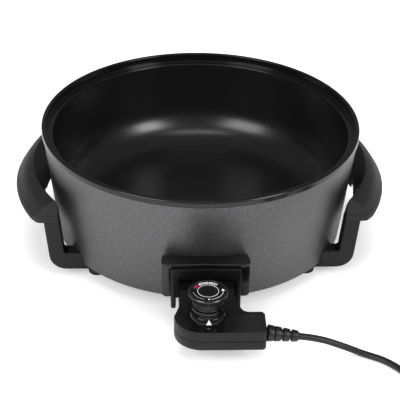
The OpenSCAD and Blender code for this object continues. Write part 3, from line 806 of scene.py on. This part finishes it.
# ---------- pan ----------
class SkilletPanPiece(bpy.types.Operator):
    """Spin the pan: hammered skirt, black rolled rim, lid ledge and deep coated bowl"""

    bl_idname = "skillet.pan"
    bl_label = "Pan"

    def execute(self, context):
        size = settings("pan")
        rim, top, low = mm(size.rim_radius), mm(size.rim_height), mm(size.skirt_low)
        wall_top, band_low = rim - OVERHANG, top - mm(size.band)
        wall_low, skirt = wall_top - LEAN, 4.0
        seat, ledge = rim - 4.4, top - 9.0
        mouth, bowl_floor = seat - 6.9, mm(size.floor_height)
        bowl_low = mouth - 6.0
        plate = bowl_floor - 4.5

        def wall(z):
            return wall_low + (wall_top - wall_low) * (z - low) / (band_low - low)

        under_fillet = 0.7 * mm(size.bowl_fillet)
        groove = plate + under_fillet + 3
        profile = [(0, plate, 0), (bowl_low + 4, plate, under_fillet), (bowl_low + 4.5, groove, 1.5),
                   (wall(groove) - skirt, groove, 1.5), (wall_low - skirt, low, 0.8), (wall_low, low, 1.5)]
        profile += [(wall(z), z, 0) for z in range(24, 120, 12)]
        profile += [
            (wall_top, band_low - 0.3, 0.4), (wall_top - 0.7, band_low, 0.2),
            (rim - 0.1, band_low + 0.1, 0.7), (rim, top, 1.9), (seat, top, 1.1),
            (seat + 0.1, ledge, 0.8), (mouth, ledge, 1.4),
            (mouth - 0.5, ledge - 9, 3), (bowl_low, bowl_floor, mm(size.bowl_fillet)), (0, bowl_floor, 0)]
        pan = lathe("pan_shell", rounded(profile, 10, closed=False), steps=size.steps)
        # the window that the connector's pins and the probe pass through
        carve(pan, block("window", (-26, -wall(plate) - 6, low - 1), (26, -125, plate - 0.3)))
        boss = [(0, low), (6.4, low), (7, low + 0.6), (7, plate + 5), (0, plate + 5)]
        for sx in SIDES.values():
            for sy in ENDS.values():
                carve(pan, lathe("boss", boss, sx * FOOT_X, sy * FOOT_Y, 40), "UNION")
        tidy(pan)
        coat(pan, *map(finish, ("hammered_enamel", "rim_enamel", "bowl_coating", "cast_underside")))
        middle = Vector((0, AXIS_Y))

        def radius(face):
            return mm((face.center.xy - middle).length)

        def outer(face):
            return (face.center.xy - middle).dot(face.normal.xy) > 0

        def in_bowl(face):
            return mm(face.center.z) > bowl_floor - 0.2 and not outer(face)

        def underneath(face):
            z = mm(face.center.z)
            bowl = in_bowl(face) and radius(face) < mouth and face.normal.z > -0.2
            return z < groove + 0.5 and radius(face) < wall(z) - 0.4 and not bowl

        def bowl_bottom(face):
            level = abs(mm(face.center.z) - bowl_floor) < 0.5
            return radius(face) < bowl_low and face.normal.z > 0.9 and level

        def on_rim(face):
            start = ledge - 1.5 if radius(face) < seat + 0.6 else band_low - 0.2
            return radius(face) > mouth - 0.4 and mm(face.center.z) > start

        paint(pan, 3, underneath)
        paint(pan, 2, lambda f: in_bowl(f) and radius(f) < mouth + 0.2 and f.normal.z > -0.02)
        paint(pan, 2, bowl_bottom)
        paint(pan, 1, on_rim)
        smooth(pan, 40)
        mount(pan, "pan_unit", "pan_metal", "pan")
        return {"FINISHED"}


def wall_tool(name, start=0.0):
    """The space that the pan's leaning wall takes from a height up, to cut the pieces that lie against it."""
    size = settings("pan")
    top, low = mm(size.rim_height) - mm(size.band), mm(size.skirt_low)
    high_r = mm(size.rim_radius) - OVERHANG + WALL_GAP
    slope = LEAN / (top - low)
    return rod(name, high_r - slope * (top - start), (0, 0, start), (0, 0, top), 240, high_r)


# ---------- connector ----------
class SkilletConnector(bpy.types.Operator):
    """Build the hood on the front of the pan and the frame that takes the heat control"""

    bl_idname = "skillet.connector"
    bl_label = "Connector"

    def execute(self, context):
        self.hood()
        self.frame()
        return {"FINISHED"}

    def hood(self):
        walls = prism("connector_hood", rounded(
            [(-41.4, 29, 4.5), (-41.4, 64, 3), (41.4, 64, 3), (41.4, 29, 4.5),
             (33.2, 29, 1.2), (33.2, 62.6, 0.4), (-33.2, 62.6, 0.4), (-33.2, 29, 1.2)], 6), -164.6, -120, "y")
        soften(walls, 1.1, 4, 50)
        roof = prism("hood_roof", rounded(
            [(-42, -166, 4.5), (42, -166, 4.5), (42, -149.5, 6), (-42, -149.5, 6)], 8), 62.6, 66)
        soften(roof, 1.65, 5, 50)
        carve(walls, roof, "UNION")
        lip = rod("lip", 2.3, (-38.6, -163.2, 63.4), (38.6, -163.2, 63.4), 24)
        soften(lip, 2.2, 5, 50)
        carve(walls, lip, "UNION")
        carve(walls, wall_tool("wall"))
        tidy(walls)
        dress(walls, "hood_gloss", "pan_unit", "shroud_plastic", "connector_shroud", angle=38)

    def frame(self):
        outline = rounded(
            [(-33, 19, 2.2), (-33, 62.5, 1.0), (33, 62.5, 1.0), (33, 19, 2.2),
             (28.3, 19, 2.2), (28.3, 51.5, 1.6), (-28.3, 51.5, 1.6), (-28.3, 19, 2.2)], 5)
        ring = prism("connector_ring", outline, -170, -120, "y")
        soften(ring, 0.7, 3, 50)
        # a shallow step round the header catches the light
        carve(ring, block("step", (-31.6, -171, 53.2), (31.6, -169.3, 61.2)))
        # the dark wall behind the opening, with a hole for each pin and for the probe
        back = block("back", (-30, -152.6, 19.5), (30, -151.25, 60))
        for x in (-17, 0, 17):
            carve(back, rod("hole", 3.2, (x, -156, 25.2), (x, -148, 25.2)))
        carve(ring, back, "UNION")
        carve(ring, wall_tool("wall"))
        tidy(ring)
        dress(ring, "connector_satin", "pan_unit", "frame_plastic", "connector_frame", angle=38)


# ---------- handles ----------
BEND_X = 10.0  # the upright axis that a handle is bent round
HANDLE_WIDE = 30.0
END_SLOPE = 32 / 40  # how fast the cut-off corners of a handle run inwards


class SkilletHandlePieces(bpy.types.Operator):
    """Spin the handles' two shells round their own upright axis and round their ends"""

    bl_idname = "skillet.handles"
    bl_label = "Handles"

    def execute(self, context):
        size = settings("handles")
        outer = mm(size.reach) - BEND_X
        low, seam, ridge = mm(size.low), mm(size.seam), mm(size.ridge)
        inner, seam_r = outer - HANDLE_WIDE, outer - 3.2
        ridge_r = inner + 0.37 * HANDLE_WIDE
        inner_seam = inner + (ridge_r - inner) * (seam - low) / (ridge - low)
        # the upper shell is drawn past the seam, so that only its upper edges are rounded
        lean = (ridge_r - inner) / (ridge - low) * 6
        top = [
            (inner_seam - lean, seam - 6, 0), (ridge_r - 1, ridge, 1.3),
            ((ridge_r + seam_r) / 2 + 1.2, (ridge + seam) / 2 + 1, 30), (seam_r, seam, 3),
            (seam_r + 1.2, seam - 6, 0),
        ]
        cover = [
            (inner, low, 1.5), (inner_seam, seam - 0.15, 0.4), (seam_r, seam - 0.15, 0.4),
            (outer, low + 2.5, 2), (outer - 4, low, 2),
        ]
        for label, section in (("top", top), ("cover", cover)):
            right = self.shell(f"right_handle_{label}_shell", section)
            if label == "cover":
                self.apron(right, inner, low)
            left = mirrored(right, f"left_handle_{label}_shell")
            for obj, side in ((right, "right"), (left, "left")):
                smooth(obj, 38)
                mount(obj, "pan_unit", "handle_plastic", f"{side}_handle_{label}")
        return {"FINISHED"}

    def apron(self, cover, inner, low):
        """A thin wall under the inner side, between the arms, with an arch in its middle."""
        half, near = FOOT_Y - ARM_WIDE / 2 - 0.3, inner + 0.5
        far = near + 2.5
        sweep = math.asin(half / far)
        steps = [sweep * i / 24 for i in range(-24, 25)]
        plan = [(BEND_X + far * math.cos(a), far * math.sin(a)) for a in steps]
        plan += [(BEND_X + near * math.cos(a), near * math.sin(a)) for a in reversed(steps)]
        wall = prism("apron", plan, low - 18, low + 1.2)
        arch = [(36, low - 18.5, 2), (18, low - 15.5, 2), (9, low - 12.5, 2), (3, low - 8, 2)]
        arch += [(-y, z, r) for y, z, r in reversed(arch)]
        carve(wall, prism("arch", rounded(arch, 5), 120, 200, "x"))
        carve(cover, wall, "UNION")
        tidy(cover)

    def shell(self, name, section):
        size = settings("handles")
        half = mm(size.span) / 2
        swing = math.radians(50)
        outline = rounded(section, 5)
        start = chain(name, [
            (BEND_X + r * math.cos(swing), r * math.sin(swing), z) for r, z in outline
        ], closed=True)
        spin(start, 120, 2 * swing, world(BEND_X, 0, 0))
        end_x = BEND_X + math.sqrt((mm(size.reach) - BEND_X) ** 2 - half**2) - 5
        far = mm(size.reach) + 12
        chamfer = half - END_SLOPE * (far - end_x)
        plan = rounded([
            (141, -half, 2), (end_x, -half, mm(size.end_round)), (far, -chamfer, 0),
            (far, chamfer, 0), (end_x, half, mm(size.end_round)), (141, half, 2)], 10)
        carve(start, prism("ends", plan, 0, 200), "INTERSECT")
        tidy(start)
        if "top" in name:
            soften(start, 2.6, 6, 48)
            carve(start, block("under", (100, -120, 0), (230, 120, mm(size.seam) + 0.15)))
            tidy(start)
            soften(start, 0.3, 2, 60)
        else:
            soften(start, 0.6, 3, 48)
        return coat(start, finish("handle_grain"))


# ---------- arms and feet ----------
class SkilletArms(bpy.types.Operator):
    """Extrude the L-shaped arms with their channels, and add the rubber feet"""

    bl_idname = "skillet.arms"
    bl_label = "Arms and feet"

    def execute(self, context):
        profile = rounded([
            (93.8, 8, 1.5), (150, 8, 17), (156, 62, 0), (141, 62, 0), (137, 26, 3), (93.8, 26, 0)], 8)
        pocket = rounded([
            (133.1, 11, 1), (147, 11, 14), (153, 53, 0), (93.8, 53, 0), (93.8, 27, 0), (133.1, 27, 0)], 8)
        for end, sy in ENDS.items():
            y = FOOT_Y * sy
            arm = prism(f"{end}_right_arm_channel", profile, y - ARM_WIDE / 2, y + ARM_WIDE / 2, "y")
            soften(arm, 0.7, 3, 50)
            carve(arm, wall_tool("wall", 14.0))
            carve(arm, prism("pocket", pocket, y - CHANNEL_WIDE / 2, y + CHANNEL_WIDE / 2, "y"))
            carve(arm, rod("hole", SCREW_HOLE, (FOOT_X, y, 0), (FOOT_X, y, 20)))
            tidy(arm)
            # the arms' finish is the handle plastic with painted shade, darker than the handles
            coat(arm, finish("arm_grain_painted_shade"))
            other = mirrored(arm, f"{end}_left_arm_channel")
            for obj, side in ((arm, "right"), (other, "left")):
                smooth(obj, 38)
                mount(obj, "pan_unit", "arm_plastic", f"{end}_{side}_arm")
                self.foot(f"{end}_{side}_foot", FOOT_X * SIDES[side], y)
        return {"FINISHED"}

    def foot(self, name, x, y):
        """A round foot with a tread ring under it and a recess for its screw."""
        profile = rounded([
            (2.1, 8, 0), (8.9, 8, 0.5), (9, 5.2, 0.4), (8.3, 4.8, 0.3), (8.3, 4.2, 0.3), (8.8, 3.8, 0.4),
            (8.2, 0.0, 1.1), (7.2, 0.0, 0.3), (6.9, 0.6, 0.2), (6.2, 0.6, 0.2), (5.9, 0, 0.3), (4.5, 0, 0.4),
            (4.5, 3.5, 0), (2.1, 3.5, 0)], 4)
        foot = lathe(name, profile, x, y, 64, closed=True)
        dress(foot, "foot_rubber", "pan_unit", "foot_rubber", "feet")


# ---------- heat control ----------
HOUSING = [
    (-31, -236, 26), (53, -236, 4.5), (53, -205, 4), (34, -205, 9), (25.6, -193, 8), (25.4, -153, 1.5),
    (-25.4, -153, 1.5), (-25.8, -198, 8), (-31, -209.3, 2),
]


class SkilletHousing(bpy.types.Operator):
    """Build the heat control's two housing halves, its collar and the pointer"""

    bl_idname = "skillet.housing"
    bl_label = "Heat control housing"

    def execute(self, context):
        size = settings("control")
        low, split, top, nose = (mm(v) for v in (size.low, size.split, size.top, size.nose_top))
        outline = rounded(HOUSING, 10)
        self.upper(outline, split, top, nose, mm(size.dial_y))
        self.lower(outline, low, split)
        self.pointer(mm(size.dial_y))
        return {"FINISHED"}

    def upper(self, outline, split, top, nose, dial_y):
        upper = prism("control_upper", outline, split + 0.15, nose + 6)
        side = rounded([
            (-245, split - 5, 0), (-245, top, 0), (-206, top, 26), (-185, nose, 8), (-140, nose, 0),
            (-140, split - 5, 0)], 10)
        carve(upper, prism("side", side, -80, 80, "x"), "INTERSECT")
        tidy(upper, 1e-5)
        soften(upper, 2.1, 6, 40)
        collar = lathe("collar", [
            (0, top - 2), (18.4, top - 2), (18.3, top + 0.4), (16.4, top + 5.4), (16.0, top + 5.9),
            (15.2, top + 6.1), (15.1, top + 7.0), (15.7, top + 7.4), (15.7, top + 9.0), (15.2, top + 9.4),
            (15.1, top + 10.2), (15.5, top + 10.6), (15.3, top + 11.5), (3.4, top + 11.7), (3.4, top - 2),
        ], 0, -dial_y, 96)
        carve(upper, collar, "UNION")
        tidy(upper)
        coat(upper, finish("control_gloss"), finish("control_satin"))
        neck = world(0, -194, 0).y
        paint(upper, 1, lambda f: abs(f.normal.z) < 0.30 and mm(f.center.z) < top - 0.9 and f.center.y < neck)
        smooth(upper, 40)
        mount(upper, "control", "control_gloss", "control_top")

    def lower(self, outline, low, split):
        lower = prism("control_lower", outline, low, split - 0.15)
        soften(lower, 0.9, 3, 50)
        dress(lower, "control_satin", "control", "control_matte", "control_base")

    def pointer(self, dial_y):
        """The white triangle on the sloping front of the collar."""
        apex, base = (0.4, -dial_y - 15.95, 44.0), -dial_y - 17.75
        mark = chain("dial_pointer", [apex, (-2.1, base, 39.5), (2.9, base, 39.5)], closed=True)
        with editing(mark):
            bpy.ops.mesh.extrude_region_move(TRANSFORM_OT_translate={"value": (0, -0.5 * MM, 0.1 * MM)})
        dress(tidy(mark), "print_white", "control", "dial_print", angle=32)


class SkilletRelief(bpy.types.Operator):
    """Spin the ribbed strain relief and let it droop from the cord branch"""

    bl_idname = "skillet.relief"
    bl_label = "Strain relief"

    def execute(self, context):
        root, droop = (53, -220.5, 26.6), 8.3
        profile = [(0, -9), (5.3, -9), (5.3, 0.2)]
        for k in range(4):
            start, wide = (1.7 if k == 0 else 0.6) + k * 7.9, 8.0 - 0.7 * k
            profile += rounded([
                (wide - 1.9, start - 0.2, 0), (wide, start, 0.7), (wide - 0.75, start + 5.9, 0.7),
                (wide - 2.3, start + 6.2, 0)], 3, closed=False)
        profile += [(3.6, 31.0), (3.45, 32.4), (0, 32.4)]
        relief = laid(lathe("cord_relief", profile, steps=72), root, 90 + droop, "Y")
        dress(relief, "cord_rubber", "control", "cord_rubber", "strain_relief")
        return {"FINISHED"}


# ---------- dial ----------
def arc_band(name, x, y, z, inner, outer, start, end, steps=48):
    """A thin flat band between two radii, from one angle to another, in degrees from +X."""
    angles = [math.radians(start + (end - start) * i / steps) for i in range(steps + 1)]
    outline = [(x + outer * math.cos(a), y + outer * math.sin(a)) for a in angles]
    outline += [(x + inner * math.cos(a), y + inner * math.sin(a)) for a in reversed(angles)]
    return prism(name, outline, z, z + 0.12)


class SkilletDial(bpy.types.Operator):
    """Build the dial: chromed flange, knurled ring, printed face and its numbers"""

    bl_idname = "skillet.dial"
    bl_label = "Dial"

    def execute(self, context):
        size = settings("control")
        self.y, self.top = -mm(size.dial_y), mm(size.dial_top)
        self.knob(mm(size.flange))
        self.ring(mm(size.knurl), size.ribs)
        self.face()
        self.print_marks()
        return {"FINISHED"}

    def knob(self, flange):
        top = self.top
        profile = rounded([
            (0, top - 7.0, 0), (flange - 2.4, top - 7.0, 0.8), (flange - 0.1, top - 1.6, 1.2),
            (flange, top - 0.9, 0.5), (flange - 0.8, top, 0.5), (flange - 1.65, top, 0.2),
            (flange - 1.7, top - 0.8, 0), (0, top - 0.8, 0)], 6, closed=False)
        knob = lathe("dial_flange", profile, 0, self.y, 128)
        dress(knob, "dial_chrome", "dial", "dial_rim", "dial_knob")

    def ring(self, radius, ribs):
        """A knurled ring: a toothed outline between two plain beads."""
        outline = []
        for i in range(ribs):
            for share, depth in ((0.0, 0.75), (0.28, 0.75), (0.42, 0.0), (0.86, 0.0)):
                a = 2 * math.pi * (i + share) / ribs
                outline.append(((radius - depth) * math.cos(a), self.y + (radius - depth) * math.sin(a)))
        low, high = self.top - 15, self.top - 6.9
        ring = prism("dial_knurl", outline, low + 0.9, high)
        bead = lathe("bead", rounded([
            (0, low, 0), (radius - 0.4, low, 0.3), (radius, low + 0.9, 0.4), (radius - 0.6, low + 1.5, 0),
            (0, low + 1.5, 0)], 4, closed=False), 0, self.y, 96)
        carve(ring, bead, "UNION")
        tidy(ring)
        dress(ring, "knurl_black", "dial", "dial_plastic", "knurled_ring", angle=35)

    def face(self):
        top = self.top - 0.78
        profile = [
            (0, top), (16.7, top), (16.7, top + 0.45), (16.2, top + 0.6), (10.6, top + 0.6),
            (10.3, top + 0.5), (9.2, top + 0.5), (8.9, top + 0.6), (0, top + 0.65)]
        face = lathe("dial_disc", profile, 0, self.y, 96)
        dress(face, "dial_black", "dial", "dial_plastic", "dial_face", angle=35)

    def number(self, text, radius, angle, height):
        """A number that stands on the face with its foot towards the middle."""
        deselect()
        bpy.ops.object.text_add(location=(0, 0, 0))
        obj = bpy.context.object
        obj.data.body = text
        obj.data.size = height * MM / 0.72
        obj.data.align_x, obj.data.align_y = "CENTER", "CENTER"
        obj.data.extrude = 0.06 * MM
        obj.data.offset = 0.1 * MM
        obj.data.resolution_u = 3
        bpy.ops.object.convert(target="MESH")
        a = math.radians(angle)
        place = world(radius * math.cos(a), self.y + radius * math.sin(a), self.top - 0.1)
        obj.matrix_world = Matrix.Translation(place) @ Matrix.Rotation(a - math.pi / 2, 4, "Z")
        pick(obj)
        settle()
        return obj

    def print_marks(self):
        z, y = self.top - 0.2, self.y
        white = [arc_band("inner_ring", 0, y, z, 9.5, 9.85, 0, 359.9, 96)]
        white.append(arc_band("power_arc", 0, y, z, 13.6, 13.95, -80, 4, 40))
        tip = [(13.75 + 1.6, 0.2), (13.75 - 1.6, 0.2), (13.4, 3.4)]
        white.append(prism("arrow", [(px, y + py) for px, py in tip], z, z + 0.12))
        white.append(lathe("dot", [(0, z), (0.8, z), (0.8, z + 0.12), (0, z + 0.12)], 0.3, y - 13.6, 24))
        for i in range(8):
            white.append(self.number(str(8 - i), 12.7, 124 - 10.4 * i, 3.1))
        for obj, finish_name in (
            (join("dial_marks", white), "print_white"),
            (arc_band("dial_low_arc", 0, y, z, 13.5, 14.0, 188, 254, 30), "print_grey"),
            (arc_band("dial_red_zone", 0, y, z, 11.4, 14.7, 135, 160, 16), "print_red"),
        ):
            dress(obj, finish_name, "dial", "dial_print", angle=32)


# ---------- parts that keep their CAD shape ----------
KEPT = {
    "heating_element": "element_steel", "terminal_pins": "contact_metal", "terminal_insulators": "ceramic",
    "terminal_plate": "plated_steel", "probe_socket": "plated_steel", "shroud_screws": "screw_steel",
    "foot_screws": "screw_steel", "handle_screws": "screw_steel", "control_screws": "screw_steel",
    "thermostat_block": "ceramic", "contact_blade": "spring_brass", "probe_tube": "plated_steel",
    "contact_sleeves": "spring_brass", "dial_spindle": "plated_steel", "plug_pins": "contact_metal",
}


class SkilletInnerParts(bpy.types.Operator):
    """Give the heating, contact and fixing parts their metals and ceramics"""

    bl_idname = "skillet.inner_parts"
    bl_label = "Inner parts"

    def execute(self, context):
        for node, name in KEPT.items():
            coat(frame["nodes"][node], finish(name))
        return {"FINISHED"}


OPERATORS = [
    SkilletCamera, SkilletCordPiece, SkilletPanPiece, SkilletConnector, SkilletHandlePieces, SkilletArms,
    SkilletHousing, SkilletRelief, SkilletDial, SkilletInnerParts, SkilletStage,
]


class SkilletPanel(bpy.types.Panel):
    """Sizes, colours and pieces of the skillet"""

    bl_idname = "VIEW3D_PT_skillet"
    bl_label = "Round Electric Skillet"
    bl_space_type = "VIEW_3D"
    bl_region_type = "UI"
    bl_category = "Skillet"

    def draw(self, context):
        for operator in OPERATORS:
            self.layout.operator(operator.bl_idname)
        for name, group in GROUPS.items():
            box = self.layout.box()
            box.label(text=name.replace("skillet_", "").capitalize())
            for prop in group.__annotations__:
                box.prop(getattr(context.scene, name), prop)


def register():
    for cls in [*GROUPS.values(), *OPERATORS, SkilletPanel]:
        bpy.utils.register_class(cls)
    for name, group in GROUPS.items():
        setattr(bpy.types.Scene, name, PointerProperty(type=group))


def unregister():
    for name in GROUPS:
        delattr(bpy.types.Scene, name)
    for cls in reversed([*GROUPS.values(), *OPERATORS, SkilletPanel]):
        bpy.utils.unregister_class(cls)


def main():
    register()
    for operator in OPERATORS:
        group, name = operator.bl_idname.split(".")
        getattr(getattr(bpy.ops, group), name)()
    deselect()


if __name__ == "__main__":
    main()
